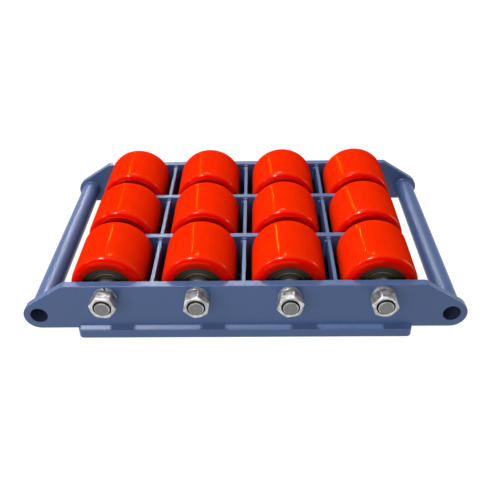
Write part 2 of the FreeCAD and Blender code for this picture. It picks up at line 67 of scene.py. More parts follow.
# %% [markdown]
# ## Sizes from the frame
# Each piece made here stands where a solid of the frame stands. The box of that solid gives its middle and
# how far it reaches, so places aren't measured twice. Only sizes that a box can't show, such as a wall or a
# thread, get a value of their own where they are first needed.

# %% Measure the solids
MM = 0.001
ROWS = ("front", "middle", "rear")
AXLES = (1, 2, 3, 4)
ENDS = (-1, 1)


def middle_and_reach(node):
    low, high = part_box(node)
    return (low + high) / 2, (high - low) / 2


roller_places = {}
for row in ROWS:
    for axle in AXLES:
        roller_places[row, axle], tyre_reach = middle_and_reach(f"tyre_{row}_{axle}")
roller_radius, roller_half_width = tyre_reach.x, tyre_reach.y
print(f"rollers: {2 * roller_radius / MM:.1f} mm across, {2 * roller_half_width / MM:.1f} mm wide")

# %% [markdown]
# ## Camera
# The photograph looks down on the long side of the skate from a little right of its middle. Place, turn and
# focal length were found together from edges measured in the photograph, so they are set as found. The
# camera's matrix is built from its own right, up and backward directions, which needs no Euler angles.

# %% Set the camera
CAMERA_PLACE = Vector((17.386, -709.921, 508.734)) * MM
CAMERA_PITCH = math.radians(34.4469)
CAMERA_YAW = math.radians(-1.48)
CAMERA_ROLL = math.radians(-1.2801)
FOCAL_PIXELS = 645.559
IMAGE_PIXELS = 490
SENSOR_WIDTH = 36.0

level = math.cos(CAMERA_PITCH)
forward = Vector((math.sin(CAMERA_YAW) * level, math.cos(CAMERA_YAW) * level, -math.sin(CAMERA_PITCH)))
right = Vector((math.cos(CAMERA_YAW), -math.sin(CAMERA_YAW), 0))
up = right.cross(forward)
rolled_right = right * math.cos(CAMERA_ROLL) + up * math.sin(CAMERA_ROLL)
rolled_up = up * math.cos(CAMERA_ROLL) - right * math.sin(CAMERA_ROLL)

camera_data = bpy.data.cameras.new("photo_camera")
camera_data.sensor_width = SENSOR_WIDTH
camera_data.lens = SENSOR_WIDTH * FOCAL_PIXELS / IMAGE_PIXELS
camera = bpy.data.objects.new("photo_camera", camera_data)
turn = Matrix((rolled_right, rolled_up, -forward)).transposed().to_4x4()
camera.matrix_world = Matrix.Translation(CAMERA_PLACE) @ turn
bpy.context.scene.collection.objects.link(camera)
bpy.context.scene.camera = camera
print(f"camera: {camera_data.lens:.2f} mm lens, {CAMERA_PLACE.length:.3f} m from the middle of the plate")

# %% [markdown]
# ## Studio
# The photograph is a product shot on white. The shadows under the nuts show a key light high on the left, and
# the rollers' shadows on the front plate show a second one behind the skate. A weaker one further left lights
# the rollers' left sides, and a low one in front fills the side plate. Two narrow strips draw bright lines
# along the treads, and a faint cool room fills the shade. Colours are shown by the plain view transform, so
# that white stays white and the red stays strong.

# %% Set the lights
bpy.context.scene.view_settings.view_transform = "Standard"
AIM = Vector((0, 0, 0.04))


def softbox(name, place, width, height, power):
    """Rectangular soft light that faces the skate."""
    data = bpy.data.lights.new(name, "AREA")
    data.shape = "RECTANGLE"
    data.size = width
    data.size_y = height
    data.energy = power
    light = bpy.data.objects.new(name, data)
    light.location = place
    light.rotation_euler = (AIM - Vector(place)).to_track_quat("-Z", "Y").to_euler()
    light.visible_camera = False
    bpy.context.scene.collection.objects.link(light)
    return light


lights = [
    softbox("key_softbox", (-1.30, -0.19, 3.35), width=0.32, height=0.32, power=92),
    softbox("left_softbox", (-2.40, -0.10, 1.80), width=0.5, height=0.5, power=11),
    softbox("front_softbox", (-0.30, -1.05, 0.42), width=1.4, height=0.6, power=7.5),
    softbox("back_softbox", (-0.22, 1.42, 1.65), width=0.3, height=0.4, power=15),
    softbox("back_strip", (-0.85, 2.38, 1.00), width=0.02, height=1.5, power=22),
    softbox("right_strip", (1.75, 0.50, 0.45), width=0.06, height=0.7, power=7),
]
print("lights:", len(lights), "of", sum(light.data.energy for light in lights), "W together")

# %% Fill the room
ROOM_TINT = (0.75, 0.95, 1.10, 1)
ROOM_STRENGTH = 0.21

world = bpy.data.worlds.new("studio_room")
world.use_nodes = True
room = world.node_tree.nodes["Background"]
room.inputs["Color"].default_value = ROOM_TINT
room.inputs["Strength"].default_value = ROOM_STRENGTH
bpy.context.scene.world = world
print("room:", ROOM_STRENGTH, "of a cool white")

# %% [markdown]
# ## Shader maths
# A finish is mostly maths on noise. Written as bare nodes that gets long, so one small class wraps a socket
# and lets Python's own operators add the Math nodes. A second class holds the material and has one method
# that adds any other node: its type, its settings and what goes into its sockets.


# %% Wrap a socket
class Wire:
    """What comes out of a node's socket; maths on it adds Math nodes."""

    def __init__(self, finish, socket):
        self.finish = finish
        self.socket = socket

    def math(self, operation, first, second):
        return self.finish.node("ShaderNodeMath", {"operation": operation}, {0: first, 1: second})

    def __add__(self, other):
        return self.math("ADD", self, other)

    def __radd__(self, other):
        return self.math("ADD", other, self)

    def __sub__(self, other):
        return self.math("SUBTRACT", self, other)

    def __rsub__(self, other):
        return self.math("SUBTRACT", other, self)

    def __mul__(self, other):
        return self.math("MULTIPLY", self, other)

    def __rmul__(self, other):
        return self.math("MULTIPLY", other, self)

    def __abs__(self):
        return self.finish.node("ShaderNodeMath", {"operation": "ABSOLUTE"}, {0: self})


# %% Build a finish
class Finish:
    """A material in the making."""

    def __init__(self, name, **constants):
        self.material = bpy.data.materials.new(name)
        self.material.use_nodes = True
        self.tree = self.material.node_tree
        self.shader = self.tree.nodes["Principled BSDF"]
        for socket, value in constants.items():
            self.shader.inputs[socket.replace("_", " ")].default_value = value

    def feed(self, socket, source):
        if isinstance(source, Wire):
            self.tree.links.new(source.socket, socket)
        else:
            socket.default_value = source

    def node(self, kind, settings=None, sockets=None, out=0):
        made = self.tree.nodes.new(kind)
        for key, value in (settings or {}).items():
            setattr(made, key, value)
        for key, value in (sockets or {}).items():
            self.feed(made.inputs[key], value)
        return Wire(self, made.outputs[out])

    def place(self):
        return self.node("ShaderNodeTexCoord", out="Object")

    def part(self, vector, axis):
        """The X, Y or Z of a vector."""
        return self.node("ShaderNodeSeparateXYZ", {}, {0: vector}, out=axis)

    def noise(self, place, grain, detail):
        """Noise from 0 to 1 whose lumps are about one grain wide, in metres."""
        return self.node("ShaderNodeTexNoise", {}, {"Vector": place, "Scale": 1 / grain, "Detail": detail})

    def lines(self, width):
        """Noise from 0 to 1 in lines round a turned piece, each about one width across."""
        along = self.node("ShaderNodeAttribute", {"attribute_name": "along"}, out="Fac")
        settings = {"noise_dimensions": "1D"}
        return self.node("ShaderNodeTexNoise", settings, {"W": along, "Scale": 1 / width, "Detail": 3.0})

    def rise(self, value, low, high):
        """0 below low, 1 above high and smooth between."""
        settings = {"interpolation_type": "SMOOTHSTEP"}
        return self.node("ShaderNodeMapRange", settings, {"Value": value, "From Min": low, "From Max": high})

    def mix(self, share, first, second):
        """Colour that goes from first to second as the share goes from 0 to 1."""
        return self.node("ShaderNodeMix", {"data_type": "RGBA"}, {0: share, 6: first, 7: second}, out=2)

    def bump(self, height, depth):
        return self.node("ShaderNodeBump", {}, {"Height": height, "Distance": depth}, out="Normal")

    def glaze(self, share, layer):
        """Lay a second shader over the first one, with a fixed share."""
        base = Wire(self, self.shader.outputs["BSDF"])
        over = self.node("ShaderNodeMixShader", {}, {0: share, 1: base, 2: layer})
        self.feed(self.tree.nodes["Material Output"].inputs["Surface"], over)

    def finish(self, **links):
        for socket, source in links.items():
            self.feed(self.shader.inputs[socket.replace("_", " ")], source)
        print("finish:", self.material.name, "with", len(self.tree.nodes), "nodes")
        return self.material


# %% [markdown]
# ## Blue-grey enamel
# The frame is sprayed with a blue-grey enamel that dries to an even half gloss. Up close it has a faint
# orange peel, tone that drifts from pass to pass of the spray gun, and fine dust on what lies flat. The
# dust's pale colour also makes the upward faces lighter, which is painted light on the tops. The peel is a
# bump of a few hundredths of a millimetre, because a larger one would make the steel look cast. The gloss is
# soft enough to spread the light from behind over all flat tops that the rollers don't shade. The tow bores
# get a darker blue, which is painted shade inside the holes. A mask round their axes finds them.

# %% Mix the enamel
TUBE_WALL = 2.5 * MM
BORE_EDGE = 0.3 * MM
# Darker blue for the tow bores: painted shade inside the holes.
BORE_SHADE_BLUE = (0.038, 0.050, 0.098, 1)
DEEP_BLUE = (0.035, 0.074, 0.192, 1)
PALE_BLUE = (0.053, 0.104, 0.252, 1)
# Pale colour of dust, which also paints the upward faces lighter: painted light on the tops.
DUST_AND_TOP_LIGHT = (0.52, 0.55, 0.62, 1)
FLECK = (0.36, 0.42, 0.58, 1)
PASS_GRAIN = 60 * MM
MOTTLE_GRAIN = 9 * MM
PEEL_GRAIN = 2.2 * MM
FLECK_GRAIN = 1.2 * MM
PEEL_DEPTH = 0.02 * MM

tow_middle, tow_reach = middle_and_reach("tow_tube_right")
tow_bore = tow_reach.x - TUBE_WALL


def outside_bores(finish, place):
    """1 on the open enamel, 0 within the tow bores at both ends of the skate, which get the painted shade."""
    sideways = abs(finish.part(place, "X")) - tow_middle.x
    upwards = finish.part(place, "Z") - tow_middle.z
    squared = sideways * sideways + upwards * upwards
    return finish.rise(squared, (tow_bore + BORE_EDGE) ** 2, (tow_bore + 2 * BORE_EDGE) ** 2)


def make_enamel():
    enamel = Finish("blue_grey_enamel", IOR=1.56)
    place = enamel.place()
    passes = enamel.noise(place, PASS_GRAIN, 3.0)
    mottle = enamel.noise(place, MOTTLE_GRAIN, 4.0)
    peel = enamel.noise(place, PEEL_GRAIN, 2.0)
    specks = enamel.rise(enamel.noise(place, FLECK_GRAIN, 1.0), 0.70, 0.78)
    upward = enamel.part(enamel.node("ShaderNodeNewGeometry", out="Normal"), "Z")
    # Upward faces lean towards the pale colour: dust, and painted light on the tops.
    dust_and_top_light = enamel.rise(upward, 0.6, 0.95) * (0.35 + 0.65 * mottle)
    tone = enamel.mix(0.6 * passes + 0.4 * mottle, DEEP_BLUE, PALE_BLUE)
    dusted = enamel.mix(0.08 * dust_and_top_light, tone, DUST_AND_TOP_LIGHT)
    flecked = enamel.mix(0.25 * specks, dusted, FLECK)
    return enamel.finish(
        Base_Color=enamel.mix(outside_bores(enamel, place), BORE_SHADE_BLUE, flecked),
        Roughness=0.36 + 0.06 * mottle + 0.02 * dust_and_top_light,
        Normal=enamel.bump(0.8 * peel + 0.2 * mottle, PEEL_DEPTH),
    )


enamel = make_enamel()

# %% [markdown]
# ## Red polyurethane
# The tyres are cast polyurethane, turned to size and left glossy. The red is deep in the shade and nearly
# orange in the light. Even its gloss is warm, because light also comes back from just below the surface. A
# white gloss would wash the red out to pink, so the base has none, and a thin orange gloss is glazed over it.
# Only the upper shoulders, polished by handling, throw back a paler spot. The outer part of each shoulder and
# the ends are painted a darker red than the tread, which is painted shade on the faces that turn away from
# the light. Very fine turning lines run round the tread. They follow the path along the tyre's outline, which
# the mesh carries as an attribute. Faint wipe marks run along the axle.

# %% Mix the polyurethane
DEEP_RED = (0.60, 0.0060, 0.0003, 1)
ORANGE_RED = (0.80, 0.0300, 0.0014, 1)
# Darker reds for the outer shoulders and the ends: painted shade on faces turned from the light.
SHADED_SHOULDER_RED = (0.66, 0.0014, 0.0004, 1)
SHADED_END_RED = (0.40, 0.0012, 0.0004, 1)
RED_DUST = (0.85, 0.10, 0.02, 1)
GLOSS_SHARE = 0.025
TREAD_GLOSS = (1.0, 0.16, 0.03, 1)
SPOT_GLOSS = (1.0, 0.80, 0.62, 1)
TREAD_TO = 33 * MM
SPOT_FROM = 35 * MM
SPOT_TO = 36.5 * MM
SPOT_END = 39 * MM
SHOULDER_SHADE_FROM = 36 * MM
SHOULDER_SHADE_TO = 40 * MM
END_SHADE_FROM = 40.5 * MM
END_SHADE_TO = 42.4 * MM
WIPE_STRETCH = (1.0, 0.06, 1.0)
WIPE_GRAIN = 4 * MM
CLOUD_GRAIN = 30 * MM
HAZE_GRAIN = 6 * MM
RED_DUST_GRAIN = 1.6 * MM
TURNING_WIDTH = 0.5 * MM
TURNING_DEPTH = 0.015 * MM


def make_polyurethane():
    red = Finish("red_polyurethane", Specular_IOR_Level=0.0)
    place = red.place()
    turning = red.lines(TURNING_WIDTH)
    stretched = red.node("ShaderNodeVectorMath", {"operation": "MULTIPLY"}, {0: place, 1: WIPE_STRETCH})
    wipes = red.noise(stretched, WIPE_GRAIN, 3.0)
    cloud = red.noise(place, CLOUD_GRAIN, 3.0)
    haze = red.noise(place, HAZE_GRAIN, 4.0)
    specks = red.rise(red.noise(place, RED_DUST_GRAIN, 1.0), 0.72, 0.80)
    across = red.part(place, "Y")
    # Masks for the outer shoulders and the ends, which take the darker reds as painted shade.
    cast = red.rise(across * across, SHOULDER_SHADE_FROM ** 2, SHOULDER_SHADE_TO ** 2)
    end = red.rise(across * across, END_SHADE_FROM ** 2, END_SHADE_TO ** 2)
    lower = red.rise(across * across, SPOT_TO ** 2, SPOT_END ** 2)
    shoulder = red.rise(across * across, TREAD_TO ** 2, SPOT_FROM ** 2) - lower
    share = 0.4 * cloud + 0.4 * wipes + 0.2 * turning
    tread = red.mix(share, DEEP_RED, ORANGE_RED)
    tone = red.mix(end, red.mix(cast, tread, SHADED_SHOULDER_RED), SHADED_END_RED)
    dusted = red.mix(0.12 * specks, tone, RED_DUST)
    roughness = 0.04 + 0.04 * haze + 0.04 * wipes + 0.02 * turning + 0.10 * shoulder
    grain = red.bump(0.5 * turning + 0.5 * haze, TURNING_DEPTH)
    gloss = red.node("ShaderNodeBsdfPrincipled", {}, {
        "Base Color": red.mix(shoulder, TREAD_GLOSS, SPOT_GLOSS),
        "Specular Tint": TREAD_GLOSS,
        "Metallic": 1.0,
        "Roughness": roughness,
        "Normal": grain,
    })
    red.glaze(GLOSS_SHARE, gloss)
    return red.finish(Base_Color=dusted, Roughness=roughness, Normal=grain)


polyurethane = make_polyurethane()

# %% [markdown]
# ## Steels and rubber
# The hubs are dark, oiled cast iron. The bearing rings are ground, with a warm film of grease. The axles are
# turned, and their threads are dark with oil and with painted shade. Nuts and washers are bright zinc, with
# dull stains on the nuts' flats where the plating was handled by a wrench. The seals are dark rubber with
# grease on it. Metals get their look from roughness that varies, so each has its own grain.

# %% Mix the hub iron
IRON_DARK = (0.018, 0.013, 0.005, 1)
IRON_LIGHT = (0.050, 0.036, 0.014, 1)
IRON_GRAIN = 1.5 * MM
IRON_DEPTH = 0.05 * MM
OIL_GRAIN = 12 * MM


def make_hub_iron():
    iron = Finish("dark_oiled_iron", Metallic=0.35)
    place = iron.place()
    grain = iron.noise(place, IRON_GRAIN, 4.0)
    oil = iron.noise(place, OIL_GRAIN, 3.0)
    return iron.finish(
        Base_Color=iron.mix(oil, IRON_DARK, IRON_LIGHT),
        Roughness=0.42 + 0.25 * grain,
        Normal=iron.bump(grain, IRON_DEPTH),
    )


hub_iron = make_hub_iron()

# %% Mix the bare steels
STEEL_STAIN_GRAIN = 5 * MM
LINE_DEPTH = 0.02 * MM


def make_ground_steel(name, line_width, least_roughness, dark, light):
    """Bare steel with fine lines along its outline, as a lathe or grinder leaves them."""
    steel = Finish(name, Metallic=1.0)
    lines = steel.lines(line_width)
    stain = steel.noise(steel.place(), STEEL_STAIN_GRAIN, 4.0)
    return steel.finish(
        Base_Color=steel.mix(0.6 * stain + 0.4 * lines, dark, light),
        Roughness=least_roughness + 0.15 * stain + 0.10 * lines,
        Normal=steel.bump(lines, LINE_DEPTH),
    )


ring_steel = make_ground_steel(
    "ground_steel", line_width=0.3 * MM, least_roughness=0.22,
    dark=(0.52, 0.45, 0.30, 1), light=(0.72, 0.62, 0.44, 1),
)
axle_steel = make_ground_steel(
    "turned_steel", line_width=0.5 * MM, least_roughness=0.28,
    dark=(0.09, 0.09, 0.085, 1), light=(0.26, 0.26, 0.25, 1),
)
# Dark steel for the threads and the nut mouths: oil, and painted shade in them.
thread_steel = make_ground_steel(
    "oiled_and_shaded_steel", line_width=0.4 * MM, least_roughness=0.35,
    dark=(0.01, 0.01, 0.01, 1), light=(0.05, 0.05, 0.04, 1),
)

# %% Mix the zinc
ZINC_GRAIN = 1.2 * MM
ZINC_STAIN_GRAIN = 6 * MM
ZINC_DEPTH = 0.08 * MM


def make_zinc(name, least_roughness, light, dark):
    """Zinc plating, bright or dull, with soft stains."""
    plating = Finish(name, Metallic=0.75)
    place = plating.place()
    grain = plating.noise(place, ZINC_GRAIN, 4.0)
    stain = plating.noise(place, ZINC_STAIN_GRAIN, 3.0)
    return plating.finish(
        Base_Color=plating.mix(plating.rise(stain, 0.35, 0.65), light, dark),
        Roughness=least_roughness + 0.22 * stain + 0.10 * grain,
        Normal=plating.bump(0.5 * grain + 0.5 * stain, ZINC_DEPTH),
    )


zinc = make_zinc(
    "bright_zinc", least_roughness=0.24, light=(0.62, 0.62, 0.61, 1), dark=(0.36, 0.355, 0.345, 1)
)
dull_zinc = make_zinc(
    "dull_zinc", least_roughness=0.30, light=(0.47, 0.47, 0.465, 1), dark=(0.20, 0.199, 0.195, 1)
)

# %% Mix the seal rubber
RUBBER_DARK = (0.010, 0.007, 0.003, 1)
RUBBER_LIGHT = (0.034, 0.023, 0.009, 1)
BLOOM_GRAIN = 4 * MM
RUBBER_GRAIN = 0.8 * MM
RUBBER_DEPTH = 0.03 * MM


def make_seal_rubber():
    rubber = Finish("greasy_seal_rubber")
    place = rubber.place()
    bloom = rubber.noise(place, BLOOM_GRAIN, 4.0)
    return rubber.finish(
        Base_Color=rubber.mix(bloom, RUBBER_DARK, RUBBER_LIGHT),
        Roughness=0.38 + 0.25 * bloom,
        Normal=rubber.bump(rubber.noise(place, RUBBER_GRAIN, 2.0), RUBBER_DEPTH),
    )


seal_rubber = make_seal_rubber()

# %% [markdown]
# ## Turning a piece
# Tyres, hubs, bearings, axles and even nuts are rings about an axle. One function can make them all: it
# takes the outline at each angle and skins neighbouring outlines with quads. A plain turned piece has the
# same outline all round. Corners are given with their rounding, and the arcs are worked out. Washers and weld
# beads use the same skin, with a cap at either end.

# %% Round the corners of an outline
ARC_STEP = math.radians(12)


def rounded(corners):
    """Points of a closed outline from corners of (radius, along, rounding)."""
    points = []
    for index, (radius, along, rounding) in enumerate(corners):
        corner = Vector((radius, along))
        if rounding == 0:
            points.append(corner)
            continue
        before = (Vector(corners[index - 1][:2]) - corner).normalized()
        after = (Vector(corners[(index + 1) % len(corners)][:2]) - corner).normalized()
        half = before.angle(after) / 2
        sweep = math.pi - 2 * half
        centre = corner + (before + after).normalized() * rounding / math.sin(half)
        start = corner + before * rounding / math.tan(half) - centre
        end = corner + after * rounding / math.tan(half) - centre
        steps = max(2, math.ceil(sweep / ARC_STEP))
        for step in range(steps + 1):
            share = step / steps
            weights = math.sin((1 - share) * sweep), math.sin(share * sweep)
            points.append(centre + (start * weights[0] + end * weights[1]) / math.sin(sweep))
    return points


# %% Skin a ring
SHARP_ANGLE = math.radians(34)
WELD_DISTANCE = 1e-7


def to_mesh(name, shape):
    """Finished mesh of a bmesh: normals outwards, smooth except at real corners."""
    bmesh.ops.remove_doubles(shape, verts=shape.verts, dist=WELD_DISTANCE)
    bmesh.ops.recalc_face_normals(shape, faces=shape.faces)
    for face in shape.faces:
        face.smooth = True
    mesh = bpy.data.meshes.new(name)
    shape.to_mesh(mesh)
    shape.free()
    mesh.set_sharp_from_angle(angle=SHARP_ANGLE)
    return mesh


def skin(shape, loops, closed=True):
    """Join each outline to the next one with quads."""
    last = len(loops[0]) if closed else len(loops[0]) - 1
    for here, there in zip(loops, loops[1:]):
        for step in range(last):
            following = (step + 1) % len(here)
            shape.faces.new((here[step], here[following], there[following], there[step]))


def skin_and_cap(shape, loops):
    skin(shape, loops)
    shape.faces.new(loops[0])
    shape.faces.new(loops[-1])


def add_ring(shape, outline_at, segments, middle=0.0, closed=True):
    """Skin the outlines round the Y axis into a bmesh; an open outline starts and ends on the axis."""
    along = shape.verts.layers.float.get("along") or shape.verts.layers.float.new("along")
    loops = []
    for index in range(segments):
        angle = 2 * math.pi * index / segments
        points = outline_at(angle)
        travelled = 0.0
        loop = []
        for step, point in enumerate(points):
            travelled += (point - points[step - 1]).length if step else 0.0
            vert = shape.verts.new((point.x * math.cos(angle), middle + point.y, point.x * math.sin(angle)))
            vert[along] = travelled
            loop.append(vert)
        loops.append(loop)
    skin(shape, loops + loops[:1], closed)


def add_turned(shape, corners, segments, middle=0.0):
    points = rounded(corners)
    add_ring(shape, lambda angle: points, segments, middle)


# %% [markdown]
# ## Putting a piece in place
# A finished mesh becomes a piece: it gets its finish, stands at its place, rides on a body of the frame and
# hides the solids it stands for. One function does all of that, so no piece is left without a body.

# %% Make a piece
def piece(name, mesh, place, body, material, slot, *nodes):
    made = bpy.data.objects.new(name, mesh)
    mesh.materials.append(material)
    made.location = place
    bpy.context.scene.collection.objects.link(made)
    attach(made, body)
    if nodes:
        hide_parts(*nodes)
    return made


# %% Give some faces a second finish
def refinish(mesh, material, chosen):
    """Put the material on the faces whose middle is chosen."""
    mesh.materials.append(material)
    for face in mesh.polygons:
        if chosen(face.center):
            face.material_index = len(mesh.materials) - 1


# %% [markdown]
# ## Paint on the frame
# The plates, dividers and tubes already have their true shapes, with rounded edges that catch the light. So
# their solids stay and take the enamel. The inner rings and spacers stay too, in steel and in dull zinc. The
# dull zinc on the side spacers is painted shade in the gap between the rollers and the side plates.

# %% Paint the solids
PAINTED = ["load_plate", "side_plate_front", "side_plate_rear", "inner_plate_front", "inner_plate_rear"]
PAINTED += [f"dividers_{row}" for row in ROWS] + ["tow_tube_left", "tow_tube_right"]
INNER_RINGS = [f"bearing_inner_rings_axle_{axle}" for axle in AXLES]


def dress(nodes, material):
    for node in nodes:
        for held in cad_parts[node].material_slots:
            held.material = material
    print("solids in", material.name + ":", len(nodes))


dress(PAINTED, enamel)
dress(INNER_RINGS, ring_steel)
dress(["bearing_spacers"], axle_steel)
# The side spacers take the darker zinc as painted shade in the gap beside the rollers.
dress(["side_spacers"], dull_zinc)

# %% [markdown]
# ## Tyres
# A tyre is a thick red ring with large round shoulders. The tread of a turned tyre is never quite straight,
# so it gets a crown of a tenth of a millimetre. The mouth round the hub has a soft bevel, as a cast edge that
# was trimmed by hand. All twelve come from one mould, so they share one outline.

# %% Make the tyres
TYRE_SEGMENTS = 144
SHOULDER_RADIUS = 10 * MM
MOUTH_BEVEL = 0.5 * MM
MOUTH_ROUNDING = 0.3 * MM
TREAD_CROWN = 0.10 * MM
TREAD_STEPS = 10

_, hub_reach = middle_and_reach("hub_front_1")
hub_radius, hub_half_length = hub_reach.x, hub_reach.y


def tyre_outline():
    """Bore, ends with round shoulders and a slightly crowned tread."""
    ends = rounded([
        (hub_radius, MOUTH_BEVEL - roller_half_width, MOUTH_ROUNDING),
        (hub_radius + MOUTH_BEVEL, -roller_half_width, MOUTH_ROUNDING),
        (roller_radius - TREAD_CROWN, -roller_half_width, SHOULDER_RADIUS),
        (roller_radius - TREAD_CROWN, roller_half_width, SHOULDER_RADIUS),
        (hub_radius + MOUTH_BEVEL, roller_half_width, MOUTH_ROUNDING),
        (hub_radius, roller_half_width - MOUTH_BEVEL, MOUTH_ROUNDING),
    ])
    tread_half = roller_half_width - SHOULDER_RADIUS
    points = []
    for point in ends:
        points.append(point)
        at_tread = math.isclose(point.y, -tread_half, abs_tol=WELD_DISTANCE)
        if at_tread and point.x > hub_radius + SHOULDER_RADIUS:
            for step in range(1, TREAD_STEPS):
                share = 2 * step / TREAD_STEPS - 1
                points.append(Vector((roller_radius - TREAD_CROWN * share * share, share * tread_half)))
    return points


tyre_points = tyre_outline()
for (row, axle), place in roller_places.items():
    shape = bmesh.new()
    add_ring(shape, lambda angle: tyre_points, TYRE_SEGMENTS)
    mesh = to_mesh(f"tyre_{row}_{axle}_cast", shape)
    piece(f"tyre_{row}_{axle}_cast", mesh, place, f"roller_{row}_{axle}", polyurethane,
          "red_polyurethane", f"tyre_{row}_{axle}")
print("tyres:", len(roller_places), "of", len(tyre_points), "points in the outline")

# %% [markdown]
# ## Hubs and bearings
# Inside each tyre sits an iron hub with a deep groove bearing pressed into either end. From outside one sees
# the hub's turned face, the bearing's outer ring with its bright inner edge, and a dark seal with a raised
# lip. The ring's flat side takes the hub's dark iron finish. The balls run between the seals. The rings with
# their balls are one piece and the seals another, because each has a finish of its own.

# %% Make the hubs
RING_SEGMENTS = 96
BEARING_WIDTH = 14 * MM
HUB_SHOULDER = 4.5 * MM
HUB_CHAMFER = 1.0 * MM
FACE_GROOVE = 0.5 * MM
EDGE_ROUNDING = 0.35 * MM

_, bearing_reach = middle_and_reach("bearings_front_1")
bearing_radius = bearing_reach.x


def hub_corners():
    """Half of the hub's outline, mirrored to the other end."""
    groove_middle = (hub_radius + bearing_radius) / 2
    shoulder_y = hub_half_length - BEARING_WIDTH
    half = [
        (bearing_radius - HUB_SHOULDER, -shoulder_y, EDGE_ROUNDING),
        (bearing_radius, -shoulder_y, 0),
        (bearing_radius, -hub_half_length, EDGE_ROUNDING),
        (groove_middle - FACE_GROOVE, -hub_half_length, 0),
        (groove_middle, FACE_GROOVE - hub_half_length, 0),
        (groove_middle + FACE_GROOVE, -hub_half_length, 0),
        (hub_radius - HUB_CHAMFER, -hub_half_length, EDGE_ROUNDING),
        (hub_radius, HUB_CHAMFER - hub_half_length, EDGE_ROUNDING),
    ]
    return half + [(radius, -along, rounding) for radius, along, rounding in reversed(half)]


for (row, axle), place in roller_places.items():
    shape = bmesh.new()
    add_turned(shape, hub_corners(), RING_SEGMENTS)
    piece(f"hub_{row}_{axle}_turned", to_mesh(f"hub_{row}_{axle}_turned", shape), place,
          f"roller_{row}_{axle}", hub_iron, "dark_hub", f"hub_{row}_{axle}")
print("hubs:", len(roller_places))

# %% Draw the rings and seals
OUTER_WALL = 4.0 * MM
RING_GAP = 5.08 * MM
TRACK_DEPTH = 1.4 * MM
SEAL_THICKNESS = 1.0 * MM
SEAL_INSET = 0.6 * MM
SEAL_LIP_GAP = 0.3 * MM
SEAL_RIB = 0.35 * MM
SEAL_LIP_END_SHARE = 0.18
SEAL_WEB_START_SHARE = 0.26
SEAL_WEB_END_SHARE = 0.62
SEAL_RIB_START_SHARE = 0.70
SEAL_RIB_END_SHARE = 0.88
BRIGHT_EDGE = 0.9 * MM
CORNER_ROUNDING = 0.8 * MM

bearing_middle = hub_half_length - BEARING_WIDTH / 2
ring_bore = bearing_radius - OUTER_WALL
ball_path = ring_bore - RING_GAP / 2
ball_radius = RING_GAP / 2 + TRACK_DEPTH
print(f"bearing: bore of the outer ring {2 * ring_bore / MM:.1f} mm, balls {2 * ball_radius / MM:.2f} mm")


def outer_ring_corners():
    half = BEARING_WIDTH / 2
    return [
        (ring_bore, -half, EDGE_ROUNDING),
        (ring_bore + BRIGHT_EDGE, -half, 0),
        (bearing_radius, -half, CORNER_ROUNDING),
        (bearing_radius, half, CORNER_ROUNDING),
        (ring_bore + BRIGHT_EDGE, half, 0),
        (ring_bore, half, EDGE_ROUNDING),
    ]


def seal_corners(side):
    """Rubber disc with a raised rib near the rim and a thicker lip at the bore, by shares of its width."""
    face = side * (BEARING_WIDTH / 2 - SEAL_INSET)
    back = face - side * SEAL_THICKNESS
    rib = face + side * SEAL_RIB
    lip = ring_bore - RING_GAP + SEAL_LIP_GAP
    width = RING_GAP - SEAL_LIP_GAP
    return [
        (lip, back, 0),
        (lip, rib, EDGE_ROUNDING / 2),
        (lip + SEAL_LIP_END_SHARE * width, rib, EDGE_ROUNDING / 2),
        (lip + SEAL_WEB_START_SHARE * width, face, 0),
        (lip + SEAL_WEB_END_SHARE * width, face, 0),
        (lip + SEAL_RIB_START_SHARE * width, rib, EDGE_ROUNDING / 2),
        (lip + SEAL_RIB_END_SHARE * width, rib, EDGE_ROUNDING / 2),
        (ring_bore, face, 0),
        (ring_bore, back, 0),
    ]


# %% Make the bearings
BALLS = 8
BALL_RINGS = 10


def is_ring_side(spot):
    """On the flat side of an outer ring, outside its bright edge."""
    return math.hypot(spot.x, spot.z) > ring_bore + BRIGHT_EDGE


def make_bearings(row, axle, place):
    rings = bmesh.new()
    seals = bmesh.new()
    for end in ENDS:
        middle = end * bearing_middle
        add_turned(rings, outer_ring_corners(), RING_SEGMENTS, middle)
        for count in range(BALLS):
            angle = 2 * math.pi * count / BALLS
            swing = Vector((math.cos(angle) * ball_path, middle, math.sin(angle) * ball_path))
            bmesh.ops.create_uvsphere(rings, u_segments=2 * BALL_RINGS, v_segments=BALL_RINGS,
                                      radius=ball_radius, matrix=Matrix.Translation(swing))
        for side in ENDS:
            add_turned(seals, seal_corners(side), RING_SEGMENTS, middle)
    body = f"roller_{row}_{axle}"
    ring_name = f"bearing_rings_{row}_{axle}"
    seal_name = f"bearing_seals_{row}_{axle}"
    node = f"bearings_{row}_{axle}"
    ring_mesh = to_mesh(ring_name, rings)
    piece(ring_name, ring_mesh, place, body, ring_steel, "bearing_steel", node)
    refinish(ring_mesh, hub_iron, is_ring_side)
    piece(seal_name, to_mesh(seal_name, seals), place, body, seal_rubber, None, node)


for (row, axle), place in roller_places.items():
    make_bearings(row, axle, place)
print("bearings:", 2 * len(roller_places), "with", BALLS, "balls each")

# %% [markdown]
# ## Axles
# An axle is turned bar with a coarse thread at both ends. Only the last turn or two of a thread shows outside
# its nut, dark with oil and with painted shade. The tip is slightly domed, and its bevel is bright, so it
# draws a thin ring of light. A thread is a ring whose outline climbs as it goes round, so the same ring
# function makes it: the radius at each point follows a blunt tooth of depth and angle.

# %% Draw the threads
THREAD_RADIUS = 9 * MM
THREAD_PITCH = 2.5 * MM
THREAD_DEPTH = 1.3 * MM
THREAD_SHOWN = 9 * MM
THREAD_LENGTH = 24 * MM
CREST_GAIN = 1.25
TIP_CHAMFER = 1.5 * MM
TIP_DOME = 0.5 * MM
DOME_STEPS = 6
POINTS_PER_PITCH = 10

